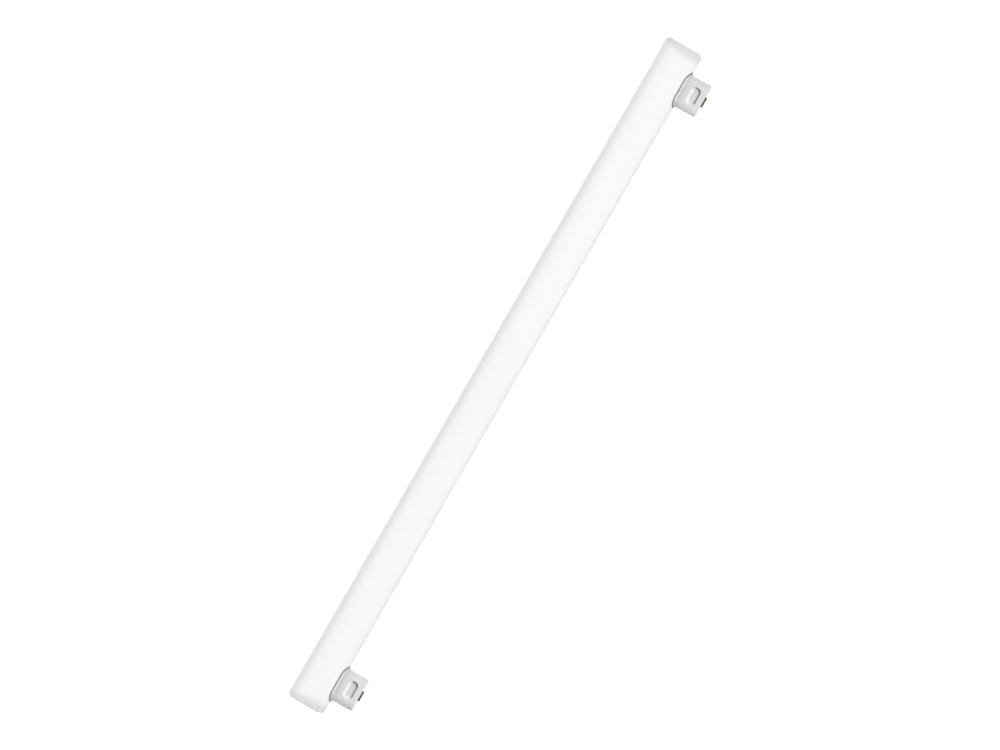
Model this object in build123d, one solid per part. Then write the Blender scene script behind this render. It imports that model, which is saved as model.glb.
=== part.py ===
"""Linear LED tube lamp with two push-in lamp caps on its side, one STEP file per piece, in millimetres.

Frame: X runs along the tube, Z points up and the two lamp caps point down. The origin lies under the middle
of the tube, on the plane of the two contact faces. Heights named "_z" are measured from that plane.
"""
import math
import os

from build123d import *

# Tube
TUBE_DIAMETER = 26.4
TUBE_WALL = 1.3
RAIL_THICKNESS = 1.0
RAIL_GRIP = 1.6

# End caps that close the tube
END_CAP_THICKNESS = 3.6
END_CAP_EDGE_RADIUS = 3.0
SPIGOT_LENGTH = 7.0
SPIGOT_WALL = 1.4
SPIGOT_CLEARANCE = 0.1
SPIGOT_CHAMFER = 0.45
RAIL_CLEARANCE = 0.3

# Lamp caps: moulded bodies that push into the lampholders
CAP_SPACING = 450.6
CAP_LEFT_OVERHANG = 23.3
CAP_RIGHT_OVERHANG = 26.1
CAP_LENGTH = 23.5
CAP_WIDTH = 14.0
CAP_HEIGHT = 15.25
CAP_CORNER_RADIUS = 5.0
CAP_EDGE_RADIUS = 0.9
CAP_DRAFT_DEG = 0.6
CAP_END_WALL = 2.5
CAP_SIDE_WALL = 3.2
CAP_FLOOR = 2.2
CAVITY_CORNER_RADIUS = 2.3

# Saddle flange of a lamp cap, and the shadow gap under its rim
FLANGE_LIP_ENDS = 1.3
FLANGE_LIP_SIDES = 1.25
FLANGE_CORNER_RADIUS = 6.5
FLANGE_THICKNESS = 0.8
FLANGE_CROWN_RADIUS = 19.0
FLANGE_FILLET = 0.8
SADDLE_CLEARANCE = 0.05
SHADOW_GAP = 0.6
SHADOW_DEPTH = 1.5

# Snap recess on each long side of a lamp cap
RECESS_LENGTH = 12.6
RECESS_HEIGHT = 6.9
RECESS_DEPTH = 2.2
RECESS_SLOPE_DEG = 15.0
RECESS_CORNER_RADIUS = 2.9
RECESS_FLOOR_RADIUS = 1.8
RECESS_FROM_END = 7.4
RECESS_EDGE_RADIUS = 0.25

# Collar of a lamp cap, which snaps into an opening of the tube
COLLAR_WALL = 1.2
COLLAR_RISE = 2.6
COLLAR_CLEARANCE = 0.2
TONGUE_WIDTH = 5.0
TONGUE_SLIT = 0.8
HOOK_REACH = 0.7
HOOK_HEIGHT = 1.4
HOOK_LAND = 0.35

# Contacts: drawn brass caps with one clinched leg and one solder tail
CONTACT_LENGTH = 7.2
CONTACT_WIDTH = 5.0
CONTACT_PROUD = 1.3
CONTACT_SHEET = 0.5
CONTACT_CORNER_RADIUS = 1.4
CONTACT_EDGE_RADIUS = 0.4
LEG_WIDTH = 2.2
LEG_CLEARANCE = 0.1
TAIL_LENGTH = 4.5
CLINCH_LENGTH = 2.0

# LED board and its LEDs
BOARD_THICKNESS = 1.0
BOARD_SLOT_PLAY = 0.2
BOARD_EDGE_GAP = 0.4
BOARD_END_GAP = 1.0
DRIVER_BAY = 9.8
LED_PITCH = 9.6
LED_LENGTH = 3.5
LED_WIDTH = 2.8
LED_HEIGHT = 0.7
LED_RIM = 0.35
LED_POCKET = 0.35

# Driver: board, sleeve and components, which hang from the board's underside
DRIVER_FROM_CAP = 24.0
DRIVER_BOARD_WIDTH = 14.2
DRIVER_BOARD_THICKNESS = 1.0
SOLDER_ROOM = 0.6
SLEEVE_WALL = 0.4
SLEEVE_PLAY = 0.1
SLEEVE_END = 1.0
SLEEVE_BOTTOM_RADIUS = 4.0
SLEEVE_DEPTH_PLAY = 0.5
PART_GAP = 1.5
LEAD_ZONE = 6.0
SIDE_ROW_Y = 3.4
PIN_DIAMETER = 0.6
PIN_HOLE_PLAY = 0.2
PIN_INSET = 1.0
FUSE_DIAMETER = 2.4
FUSE_LENGTH = 6.5
FUSE_PITCH = 10.0
FUSE_STAND_OFF = 0.2
FUSE_CHAMFER = 0.4
VARISTOR_DIAMETER = 5.6
VARISTOR_THICKNESS = 2.6
VARISTOR_CHAMFER = 0.8
VARISTOR_PIN_PITCH = 2.8
FILM_LENGTH = 7.2
FILM_WIDTH = 2.6
FILM_HEIGHT = 4.6
FILM_CHAMFER = 0.3
BRIDGE_LENGTH = 4.7
BRIDGE_WIDTH = 3.9
BRIDGE_PITCH = 2.54
CHOKE_DIAMETER = 6.0
CHOKE_HEIGHT = 4.6
CHOKE_PLATE = 0.75
CHOKE_WINDING = 5.2
CAN_DIAMETER = 5.0
CAN_LENGTH = 11.0
CAN_CHAMFER = 0.4
CAN_BEAD_FROM_END = 1.5
CAN_BEAD_WIDTH = 0.6
CAN_BEAD_DEPTH = 0.25
CAN_PIN_PITCH = 2.5
CHIP_LENGTH = 4.9
CHIP_WIDTH = 3.9
CHIP_HEIGHT = 1.5
CHIP_PITCH = 1.27
CHIP_STAND_OFF = 0.15
CHIP_CHAMFER = 0.22
CHIP_LEAD_SHEET = 0.22
CHIP_LEAD_WIDTH = 0.5
CHIP_LEAD_KNEE = 0.45
CHIP_LEAD_REACH = 1.1
RESISTOR_LENGTH = 2.0
RESISTOR_WIDTH = 1.25
RESISTOR_HEIGHT = 0.55
RESISTOR_PITCH = 3.0

# Inner leads
LEAD_DIAMETER = 1.2
LEAD_CORE = 0.5
LEAD_BEND = 2.6
LEAD_SWEEP = 6.0
LEAD_DROP = 3.3
LEAD_HOLE_PLAY = 0.3
LEAD_OVERLAP = 3.0
LEAD_ROW_Y = 3.0
SIDE_HOLE_Y = 5.1
NEUTRAL_HOLE_FROM_CAP = 14.4

# Heights and places that follow from the sizes above
tube_radius = TUBE_DIAMETER / 2
bore_radius = tube_radius - TUBE_WALL
cap_end_z = CONTACT_PROUD
tube_bottom_z = cap_end_z + CAP_HEIGHT
axis_z = tube_bottom_z + tube_radius
bore_bottom_z = axis_z - bore_radius
cap_inside_z = cap_end_z + CAP_FLOOR
lamp_length = CAP_LEFT_OVERHANG + CAP_SPACING + CAP_RIGHT_OVERHANG
cap_left_x = -lamp_length / 2 + CAP_LEFT_OVERHANG
cap_right_x = cap_left_x + CAP_SPACING
tube_length = lamp_length - 2 * END_CAP_THICKNESS

flange_length = CAP_LENGTH + 2 * FLANGE_LIP_ENDS
flange_width = CAP_WIDTH + 2 * FLANGE_LIP_SIDES
cavity_length = CAP_LENGTH - 2 * CAP_END_WALL
cavity_width = CAP_WIDTH - 2 * CAP_SIDE_WALL
collar_length = cavity_length + 2 * COLLAR_WALL
collar_width = cavity_width + 2 * COLLAR_WALL
collar_corner = CAVITY_CORNER_RADIUS + COLLAR_WALL
collar_top_z = bore_bottom_z + COLLAR_RISE

board_under_z = bore_bottom_z + DRIVER_BAY
board_top_z = board_under_z + BOARD_THICKNESS
board_reach = max(abs(board_under_z - axis_z), abs(board_top_z - axis_z))
board_half_width = math.sqrt(bore_radius**2 - board_reach**2) - BOARD_EDGE_GAP
board_length = tube_length - 2 * (SPIGOT_LENGTH + BOARD_END_GAP)
rail_tip_y = board_half_width - RAIL_GRIP
rail_slot_top_z = board_top_z + BOARD_SLOT_PLAY

tallest_part = max(FILM_HEIGHT, CHOKE_HEIGHT, CAN_DIAMETER, VARISTOR_THICKNESS, FUSE_DIAMETER, CHIP_HEIGHT)
sleeve_half_width = DRIVER_BOARD_WIDTH / 2 + SLEEVE_PLAY + SLEEVE_WALL
driver_top_z = board_under_z - SLEEVE_WALL - SOLDER_ROOM
driver_under_z = driver_top_z - DRIVER_BOARD_THICKNESS
sleeve_bottom_z = driver_under_z - tallest_part - SLEEVE_DEPTH_PLAY - SLEEVE_WALL
driver_left_x = cap_left_x + DRIVER_FROM_CAP

# Driver components in a row from the mains side to the LED side, each behind the one before
fuse_x = driver_left_x + LEAD_ZONE + FUSE_PITCH / 2
film_x = fuse_x + FUSE_PITCH / 2 + PART_GAP + FILM_LENGTH / 2
bridge_x = film_x + FILM_LENGTH / 2 + PART_GAP + BRIDGE_LENGTH / 2
choke_x = bridge_x + BRIDGE_LENGTH / 2 + PART_GAP + CHOKE_DIAMETER / 2
can_x = choke_x + CHOKE_DIAMETER / 2 + PART_GAP
can_pin_x = can_x + CAN_LENGTH + PART_GAP
chip_x = can_pin_x + PART_GAP + CHIP_LENGTH / 2
resistor_x = chip_x + CHIP_LENGTH / 2 + PART_GAP + RESISTOR_LENGTH / 2
driver_right_x = resistor_x + RESISTOR_LENGTH / 2 + LEAD_ZONE
driver_length = driver_right_x - driver_left_x
fuse_y = -SIDE_ROW_Y
varistor_y = SIDE_ROW_Y
film_pin = FILM_LENGTH / 2 - PIN_INSET
choke_pin = CHOKE_DIAMETER / 2 - PIN_INSET
can_pin_y = CAN_PIN_PITCH / 2

# Where the leads meet the two boards
mains_x = driver_left_x + LEAD_ZONE / 2
output_x = driver_right_x - LEAD_ZONE / 2
neutral_hole_x = cap_right_x - NEUTRAL_HOLE_FROM_CAP
link_hole_x = driver_left_x - SLEEVE_END - LEAD_ZONE
led_hole_x = driver_right_x + SLEEVE_END + LEAD_ZONE
lead_run_z = driver_under_z - LEAD_DROP


def across(x):
    """Plane square to the tube at x, with Y to the right and Z up, centred on the tube's axis."""
    return Plane(origin=(x, 0, axis_z), x_dir=(0, 1, 0), z_dir=(1, 0, 0))


def along_tube(radius, length, centre_z=axis_z, x=0.0):
    """Cylinder along X, centred at x."""
    return Pos(x, 0, centre_z) * Rot(0, 90, 0) * Cylinder(radius, length)


def upright(length, width, corner, low_z, high_z, x=0.0):
    """Upright prism with a rounded rectangular footprint."""
    outline = RectangleRounded(length, width, corner)
    return Pos(x, 0, low_z) * extrude(outline, amount=high_z - low_z)


def block(x_range, y_range, z_range):
    """Box given by its limits."""
    low = (x_range[0], y_range[0], z_range[0])
    size = (x_range[1] - x_range[0], y_range[1] - y_range[0], z_range[1] - z_range[0])
    return Pos(*low) * Box(*size, align=(Align.MIN, Align.MIN, Align.MIN))


def diffuser_tube():
    """Extruded opal tube with two pairs of board rails and an opening for each lamp cap."""
    section = Circle(tube_radius) - Circle(bore_radius)
    rail_width = tube_radius - rail_tip_y
    for rail_z in (board_under_z - RAIL_THICKNESS / 2, rail_slot_top_z + RAIL_THICKNESS / 2):
        for side in (-1, 1):
            rail = Pos(side * (rail_tip_y + rail_width / 2), rail_z - axis_z)
            section += rail * Rectangle(rail_width, RAIL_THICKNESS) & Circle(bore_radius + TUBE_WALL / 2)
    tube = extrude(across(-tube_length / 2) * section, amount=tube_length)
    for x in (cap_left_x, cap_right_x):
        opening = (collar_length + 2 * COLLAR_CLEARANCE, collar_width + 2 * COLLAR_CLEARANCE)
        tube -= upright(*opening, collar_corner + COLLAR_CLEARANCE, tube_bottom_z - 1, collar_top_z, x)
    return tube


def end_cap():
    """Rounded plug for the tube's left end, with a spigot that is slotted for the rails."""
    outer_x = -lamp_length / 2
    seat_x = outer_x + END_CAP_THICKNESS
    disc = along_tube(tube_radius, END_CAP_THICKNESS, x=outer_x + END_CAP_THICKNESS / 2)
    disc = fillet(disc.edges().group_by(Axis.X)[0], END_CAP_EDGE_RADIUS)
    spigot_radius = bore_radius - SPIGOT_CLEARANCE
    spigot = along_tube(spigot_radius, SPIGOT_LENGTH, x=seat_x + SPIGOT_LENGTH / 2)
    spigot = chamfer(spigot.edges().group_by(Axis.X)[-1], SPIGOT_CHAMFER)
    spigot -= along_tube(spigot_radius - SPIGOT_WALL, SPIGOT_LENGTH, x=seat_x + SPIGOT_LENGTH / 2)
    slot_low = board_under_z - RAIL_THICKNESS - RAIL_CLEARANCE
    slot_high = rail_slot_top_z + RAIL_THICKNESS + RAIL_CLEARANCE
    for side in (-1, 1):
        reach = sorted((side * (rail_tip_y - RAIL_CLEARANCE), side * tube_radius))
        spigot -= block((seat_x, seat_x + SPIGOT_LENGTH), reach, (slot_low, slot_high))
    return disc + spigot


def recess_cutter(side):
    """Dished pocket for one long side of a lamp cap: steep at its mouth and rolling into a flat floor."""
    face = Plane(
        origin=(0, side * CAP_WIDTH / 2, cap_end_z + RECESS_FROM_END),
        x_dir=(1, 0, 0),
        z_dir=(0, -side, 0),
    )
    mouth = RectangleRounded(RECESS_LENGTH, RECESS_HEIGHT, RECESS_CORNER_RADIUS)
    pocket = extrude(face * mouth, amount=RECESS_DEPTH, taper=RECESS_SLOPE_DEG)
    floor = pocket.faces().sort_by(Axis.Y)[0 if side > 0 else -1]
    return fillet(floor.edges(), RECESS_FLOOR_RADIUS)


def cap_outside():
    """Outer form of a lamp cap: drafted body, crowned flange, fillet between them, rounded end, recesses."""
    spread = tube_radius * math.tan(math.radians(CAP_DRAFT_DEG))
    outline = RectangleRounded(CAP_LENGTH + 2 * spread, CAP_WIDTH + 2 * spread, CAP_CORNER_RADIUS + spread)
    body = extrude(Plane.XY.offset(axis_z) * outline, amount=cap_end_z - axis_z, taper=CAP_DRAFT_DEG)
    body = fillet(body.edges().group_by(Axis.Z)[0], CAP_EDGE_RADIUS)
    flange = upright(flange_length, flange_width, FLANGE_CORNER_RADIUS, cap_end_z, axis_z)
    crown_z = tube_bottom_z - FLANGE_THICKNESS + FLANGE_CROWN_RADIUS
    flange &= along_tube(FLANGE_CROWN_RADIUS, 2 * flange_length, crown_z)
    outside = body + flange
    outside = fillet(new_edges(body, flange, combined=outside), FLANGE_FILLET)
    for side in (-1, 1):
        pocketed = outside - recess_cutter(side)
        mouth_edges = new_edges(outside, recess_cutter(side), combined=pocketed)
        outside = fillet(mouth_edges, RECESS_EDGE_RADIUS)
    return outside


def snap_hook(side):
    """Wedge on the collar's end tongue, which catches inside the tube's wall."""
    root_x = collar_length / 2
    tongue_rise = bore_radius - math.sqrt(bore_radius**2 - (TONGUE_WIDTH / 2) ** 2)
    catch_z = bore_bottom_z + tongue_rise + SADDLE_CLEARANCE
    profile = Polyline(
        (root_x - COLLAR_WALL / 2, catch_z),
        (root_x + HOOK_REACH, catch_z),
        (root_x + HOOK_REACH, catch_z + HOOK_LAND),
        (root_x, catch_z + HOOK_HEIGHT),
        (root_x - COLLAR_WALL / 2, catch_z + HOOK_HEIGHT),
        close=True,
    )
    wedge = extrude(Plane.XZ * make_face(profile), amount=TONGUE_WIDTH / 2, both=True)
    return wedge if side > 0 else mirror(wedge, Plane.YZ)


def lamp_cap():
    """Moulded lamp cap at x = 0: hollow body with saddle, shadow gap, snap collar and contact slots."""
    long_run = 2 * flange_length
    cap = cap_outside() - along_tube(tube_radius + SADDLE_CLEARANCE, long_run)
    core = upright(
        flange_length - 2 * SHADOW_DEPTH,
        flange_width - 2 * SHADOW_DEPTH,
        FLANGE_CORNER_RADIUS - SHADOW_DEPTH,
        cap_end_z,
        axis_z,
    )
    cap -= along_tube(tube_radius + SHADOW_GAP, long_run) - core
    cap += upright(collar_length, collar_width, collar_corner, tube_bottom_z - FLANGE_THICKNESS, collar_top_z)
    cap -= upright(cavity_length, cavity_width, CAVITY_CORNER_RADIUS, cap_inside_z, axis_z)
    slit_base_z = bore_bottom_z - TUBE_WALL / 2
    for side in (-1, 1):
        wall = sorted((side * (cavity_length / 2 - COLLAR_WALL), side * (collar_length / 2 + 0.1)))
        for slit_y in (-TONGUE_WIDTH / 2 - TONGUE_SLIT, TONGUE_WIDTH / 2):
            cap -= block(wall, (slit_y, slit_y + TONGUE_SLIT), (slit_base_z, collar_top_z))
        cap += snap_hook(side)
        leg_x = side * (CONTACT_LENGTH - CONTACT_SHEET) / 2
        half_slot = CONTACT_SHEET / 2 + LEG_CLEARANCE
        half_width = LEG_WIDTH / 2 + LEG_CLEARANCE
        slot = (leg_x - half_slot, leg_x + half_slot)
        cap -= block(slot, (-half_width, half_width), (cap_end_z - 1, cap_inside_z + 1))
    return cap


def contact():
    """Drawn brass contact at x = 0: flat face at z = 0, a clinched leg at -X and a solder tail at +X."""
    shell = upright(CONTACT_LENGTH, CONTACT_WIDTH, CONTACT_CORNER_RADIUS, 0, CONTACT_PROUD)
    shell = fillet(shell.edges().group_by(Axis.Z)[0], CONTACT_EDGE_RADIUS)
    shell -= upright(
        CONTACT_LENGTH - 2 * CONTACT_SHEET,
        CONTACT_WIDTH - 2 * CONTACT_SHEET,
        CONTACT_CORNER_RADIUS - CONTACT_SHEET,
        CONTACT_SHEET,
        CONTACT_PROUD,
    )
    half_leg = (-LEG_WIDTH / 2, LEG_WIDTH / 2)
    outer_x = CONTACT_LENGTH / 2
    inner_x = outer_x - CONTACT_SHEET
    clinch_top_z = cap_inside_z + CONTACT_SHEET
    tail = block((inner_x, outer_x), half_leg, (CONTACT_SHEET, cap_inside_z + TAIL_LENGTH))
    leg = block((-outer_x, -inner_x), half_leg, (CONTACT_SHEET, clinch_top_z))
    clinch = block((-outer_x - CLINCH_LENGTH, -inner_x), half_leg, (cap_inside_z, clinch_top_z))
    leg += clinch
    return shell + tail + leg


def led_board():
    """Long LED board in the tube's rails, drilled for four lead ends."""
    board = block(
        (-board_length / 2, board_length / 2),
        (-board_half_width, board_half_width),
        (board_under_z, board_top_z),
    )
    holes = [
        (neutral_hole_x, SIDE_HOLE_Y),
        (link_hole_x, SIDE_HOLE_Y),
        (led_hole_x, LEAD_ROW_Y),
        (led_hole_x, -LEAD_ROW_Y),
    ]
    for x, y in holes:
        board -= Pos(x, y, board_under_z) * Cylinder(LEAD_CORE / 2 + LEAD_HOLE_PLAY / 2, 3 * BOARD_THICKNESS)
    return board


def led_places():
    """Middles of the LEDs, evenly spread over the board."""
    count = int((board_length - 2 * LED_LENGTH) / LED_PITCH) + 1
    return [(i - (count - 1) / 2) * LED_PITCH for i in range(count)]


def led_packages():
    """White LED housings, each with a shallow pocket."""
    length = (-LED_LENGTH / 2, LED_LENGTH / 2)
    width = (-LED_WIDTH / 2, LED_WIDTH / 2)
    top_z = board_top_z + LED_HEIGHT
    pocket_length = (length[0] + LED_RIM, length[1] - LED_RIM)
    pocket_width = (width[0] + LED_RIM, width[1] - LED_RIM)
    package = block(length, width, (board_top_z, top_z))
    package -= block(pocket_length, pocket_width, (top_z - LED_POCKET, top_z))
    return Compound([Pos(x, 0, 0) * package for x in led_places()])


def led_phosphor():
    """Yellow fill of the LED pockets."""
    half_length = LED_LENGTH / 2 - LED_RIM
    half_width = LED_WIDTH / 2 - LED_RIM
    top_z = board_top_z + LED_HEIGHT
    fill = block((-half_length, half_length), (-half_width, half_width), (top_z - LED_POCKET, top_z))
    return Compound([Pos(x, 0, 0) * fill for x in led_places()])


def pin_places():
    """Holes that the driver board has for its component pins and lead ends."""
    pins = [
        (fuse_x - FUSE_PITCH / 2, fuse_y),
        (fuse_x + FUSE_PITCH / 2, fuse_y),
        (fuse_x - VARISTOR_PIN_PITCH / 2, varistor_y),
        (fuse_x + VARISTOR_PIN_PITCH / 2, varistor_y),
        (film_x - film_pin, 0),
        (film_x + film_pin, 0),
        (choke_x - choke_pin, 0),
        (choke_x + choke_pin, 0),
        (can_pin_x, -can_pin_y),
        (can_pin_x, can_pin_y),
    ]
    leads = [(mains_x, 0), (mains_x, SIDE_HOLE_Y), (output_x, LEAD_ROW_Y), (output_x, -LEAD_ROW_Y)]
    return pins, leads


def driver_board():
    """Driver circuit board, drilled for pins and leads."""
    half = DRIVER_BOARD_WIDTH / 2
    board = block((driver_left_x, driver_right_x), (-half, half), (driver_under_z, driver_top_z))
    pins, leads = pin_places()
    for places, size in ((pins, PIN_DIAMETER + PIN_HOLE_PLAY), (leads, LEAD_CORE + LEAD_HOLE_PLAY)):
        for x, y in places:
            board -= Pos(x, y, driver_under_z) * Cylinder(size / 2, 3 * DRIVER_BOARD_THICKNESS)
    return board


def driver_sleeve():
    """Insulating sleeve round the driver, flat against the LED board's back and open at both ends."""
    height = board_under_z - sleeve_bottom_z
    middle_z = (board_under_z + sleeve_bottom_z) / 2
    outline = Rectangle(2 * sleeve_half_width, height)
    top_corners = outline.vertices().group_by(Axis.Y)[-1]
    outline = fillet(top_corners, SLEEVE_WALL + SOLDER_ROOM)
    bottom_corners = outline.vertices().group_by(Axis.Y)[0]
    outline = fillet(bottom_corners, SLEEVE_BOTTOM_RADIUS)
    section = outline - offset(outline, -SLEEVE_WALL)
    start = Plane(
        origin=(driver_left_x - SLEEVE_END, 0, middle_z), x_dir=(0, 1, 0), z_dir=(1, 0, 0)
    )
    return extrude(start * section, amount=driver_length + 2 * SLEEVE_END)


def pin(x, y, low_z):
    """Straight component pin, from low_z to just past the driver board's top."""
    height = driver_top_z + SOLDER_ROOM / 2 - low_z
    return Pos(x, y, low_z + height / 2) * Cylinder(PIN_DIAMETER / 2, height)


def wire(points, diameter, bends):
    """Round wire along straight runs joined by tangent arcs, with one bend radius for each inner point."""
    path = FilletPolyline(*points, radius=bends)
    start = Plane(origin=path @ 0, z_dir=path % 0)
    return sweep(start * Circle(diameter / 2), path=path)


def fusible_resistor():
    """Axial resistor lying along X, its wire ends bent up through the board."""
    top_z = driver_top_z + SOLDER_ROOM / 2
    run_z = driver_under_z - FUSE_STAND_OFF - FUSE_DIAMETER / 2
    left_x = fuse_x - FUSE_PITCH / 2
    right_x = fuse_x + FUSE_PITCH / 2
    left = [(left_x, fuse_y, top_z), (left_x, fuse_y, run_z)]
    right = [(right_x, fuse_y, run_z), (right_x, fuse_y, top_z)]
    body = Pos(fuse_x, fuse_y, run_z) * Rot(0, 90, 0) * Cylinder(FUSE_DIAMETER / 2, FUSE_LENGTH)
    body = chamfer(body.edges().filter_by(GeomType.CIRCLE), FUSE_CHAMFER)
    return body + wire(left + right, PIN_DIAMETER, [PIN_DIAMETER, PIN_DIAMETER])


def surge_varistor():
    """Lacquered disc lying flat on the board, with two pins."""
    low_z = driver_under_z - VARISTOR_THICKNESS
    disc = Pos(fuse_x, varistor_y, driver_under_z - VARISTOR_THICKNESS / 2)
    disc = disc * Cylinder(VARISTOR_DIAMETER / 2, VARISTOR_THICKNESS)
    disc = chamfer(disc.edges().group_by(Axis.Z)[0], VARISTOR_CHAMFER)
    for side in (-1, 1):
        disc += pin(fuse_x + side * VARISTOR_PIN_PITCH / 2, varistor_y, low_z + VARISTOR_THICKNESS / 2)
    return disc


def film_capacitor():
    """Box-shaped film capacitor with two pins."""
    low_z = driver_under_z - FILM_HEIGHT
    body = block(
        (film_x - FILM_LENGTH / 2, film_x + FILM_LENGTH / 2),
        (-FILM_WIDTH / 2, FILM_WIDTH / 2),
        (low_z, driver_under_z),
    )
    body = chamfer(body.edges().filter_by(Axis.Z) + body.edges().group_by(Axis.Z)[0], FILM_CHAMFER)
    for side in (-1, 1):
        body += pin(film_x + side * film_pin, 0, low_z + FILM_HEIGHT / 2)
    return body


def leaded_chip(x, length, width, per_side, pitch):
    """Flat chip package with a row of bent leads on each long side."""
    middle_z = driver_under_z - CHIP_STAND_OFF - CHIP_HEIGHT / 2
    body = Pos(x, 0, middle_z) * Box(length, width, CHIP_HEIGHT)
    body = chamfer(body.edges().group_by(Axis.Z)[0], CHIP_CHAMFER)
    root = width / 2 - CHIP_LEAD_SHEET
    knee = width / 2 + CHIP_LEAD_KNEE
    toe = width / 2 + CHIP_LEAD_REACH
    arm = (middle_z - CHIP_LEAD_SHEET / 2, middle_z + CHIP_LEAD_SHEET / 2)
    foot = (driver_under_z - CHIP_LEAD_SHEET, driver_under_z)
    for side in (-1, 1):
        for i in range(per_side):
            lead_x = x + (i - (per_side - 1) / 2) * pitch
            span = (lead_x - CHIP_LEAD_WIDTH / 2, lead_x + CHIP_LEAD_WIDTH / 2)
            shin = sorted((side * (knee - CHIP_LEAD_SHEET), side * knee))
            body += block(span, sorted((side * root, side * knee)), arm)
            body += block(span, shin, (arm[0], foot[1]))
            body += block(span, sorted((side * (knee - CHIP_LEAD_SHEET), side * toe)), foot)
    return body


def bridge_rectifier():
    """Four-lead bridge rectifier."""
    return leaded_chip(bridge_x, BRIDGE_LENGTH, BRIDGE_WIDTH, 2, BRIDGE_PITCH)


def driver_chip():
    """Eight-lead driver chip."""
    return leaded_chip(chip_x, CHIP_LENGTH, CHIP_WIDTH, 4, CHIP_PITCH)


def filter_choke():
    """Drum choke: two core flanges with the winding between them, and two pins."""
    low_z = driver_under_z - CHOKE_HEIGHT
    radius = CHOKE_DIAMETER / 2
    wound = CHOKE_WINDING / 2
    profile = Polyline(
        (0, low_z),
        (radius, low_z),
        (radius, low_z + CHOKE_PLATE),
        (wound, low_z + CHOKE_PLATE),
        (wound, driver_under_z - CHOKE_PLATE),
        (radius, driver_under_z - CHOKE_PLATE),
        (radius, driver_under_z),
        (0, driver_under_z),
        close=True,
    )
    drum = Pos(choke_x, 0, 0) * revolve(Plane.XZ * make_face(profile), Axis.Z)
    for side in (-1, 1):
        drum += pin(choke_x + side * choke_pin, 0, low_z + CHOKE_HEIGHT / 2)
    return drum


def smoothing_capacitor():
    """Electrolytic can lying along X, with a bead near its seal and two bent wires."""
    radius = CAN_DIAMETER / 2
    axis_height = driver_under_z - radius
    seal_x = can_x + CAN_LENGTH
    can = along_tube(radius, CAN_LENGTH, axis_height, can_x + CAN_LENGTH / 2)
    can = chamfer(can.edges().filter_by(GeomType.CIRCLE), CAN_CHAMFER)
    bead_x = seal_x - CAN_BEAD_FROM_END
    bead = along_tube(2 * radius, CAN_BEAD_WIDTH, axis_height, bead_x)
    can -= bead - along_tube(radius - CAN_BEAD_DEPTH, CAN_BEAD_WIDTH, axis_height, bead_x)
    top_z = driver_top_z + SOLDER_ROOM / 2
    for y in (-can_pin_y, can_pin_y):
        run = [(seal_x - radius, y, axis_height), (can_pin_x, y, axis_height), (can_pin_x, y, top_z)]
        can += wire(run, PIN_DIAMETER, [PIN_DIAMETER])
    return can


def chip_resistors():
    """Four small chip resistors beside the driver chip's end of the board."""
    chips = []
    middle_z = driver_under_z - RESISTOR_HEIGHT / 2
    for i in range(4):
        place = Pos(resistor_x, (i - 1.5) * RESISTOR_PITCH, middle_z)
        chips.append(place * Box(RESISTOR_LENGTH, RESISTOR_WIDTH, RESISTOR_HEIGHT))
    return Compound(chips)


def lead(points, bends, bare_up):
    """Insulated lead with its bare core standing out of each end that goes up through a board."""
    cover = wire(points, LEAD_DIAMETER, bends)
    for (x, y, z), length in bare_up:
        cover += Pos(x, y, z + length / 2) * Cylinder(LEAD_CORE / 2, length)
    return cover


def tail_start(cap_x, side):
    """Place beside a contact's solder tail where a lead begins; side is the tail's side of the cap."""
    inset = CONTACT_LENGTH / 2 - CONTACT_SHEET - LEAD_DIAMETER / 2 - LEG_CLEARANCE / 2
    return cap_x + side * inset, 0, cap_inside_z + TAIL_LENGTH - LEAD_OVERLAP


def line_lead():
    """From the left contact's tail to the driver."""
    x, y, z = tail_start(cap_left_x, 1)
    end = (mains_x, 0, driver_under_z)
    run = [(x, y, z), (x, y, lead_run_z), (mains_x, 0, lead_run_z), end]
    return lead(run, [LEAD_SWEEP, LEAD_BEND], [(end, DRIVER_BOARD_THICKNESS + SOLDER_ROOM / 2)])


def neutral_lead():
    """From the right contact's tail to the LED board, which carries the neutral to the other end."""
    x, y, z = tail_start(cap_right_x, -1)
    end = (neutral_hole_x, SIDE_HOLE_Y, board_under_z)
    run = [(x, y, z), (x, y, lead_run_z), (neutral_hole_x, SIDE_HOLE_Y, lead_run_z), end]
    return lead(run, [LEAD_SWEEP, LEAD_BEND], [(end, BOARD_THICKNESS + SOLDER_ROOM / 2)])


def neutral_link():
    """From the LED board to the driver's neutral side."""
    first = (link_hole_x, SIDE_HOLE_Y, board_under_z)
    last = (mains_x, SIDE_HOLE_Y, driver_under_z)
    run = [first, (link_hole_x, SIDE_HOLE_Y, lead_run_z), (mains_x, SIDE_HOLE_Y, lead_run_z), last]
    bare = [(first, BOARD_THICKNESS + SOLDER_ROOM / 2), (last, DRIVER_BOARD_THICKNESS + SOLDER_ROOM / 2)]
    return lead(run, [LEAD_BEND, LEAD_BEND], bare)


def led_lead(y):
    """From the driver's output to the LED board."""
    first = (output_x, y, driver_under_z)
    last = (led_hole_x, y, board_under_z)
    run = [first, (output_x, y, lead_run_z), (led_hole_x, y, lead_run_z), last]
    bare = [(first, DRIVER_BOARD_THICKNESS + SOLDER_ROOM / 2), (last, BOARD_THICKNESS + SOLDER_ROOM / 2)]
    return lead(run, [LEAD_BEND, LEAD_BEND], bare)


turned = Rot(0, 0, 180)
cap = lamp_cap()
brass = contact()
plug = end_cap()

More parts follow.
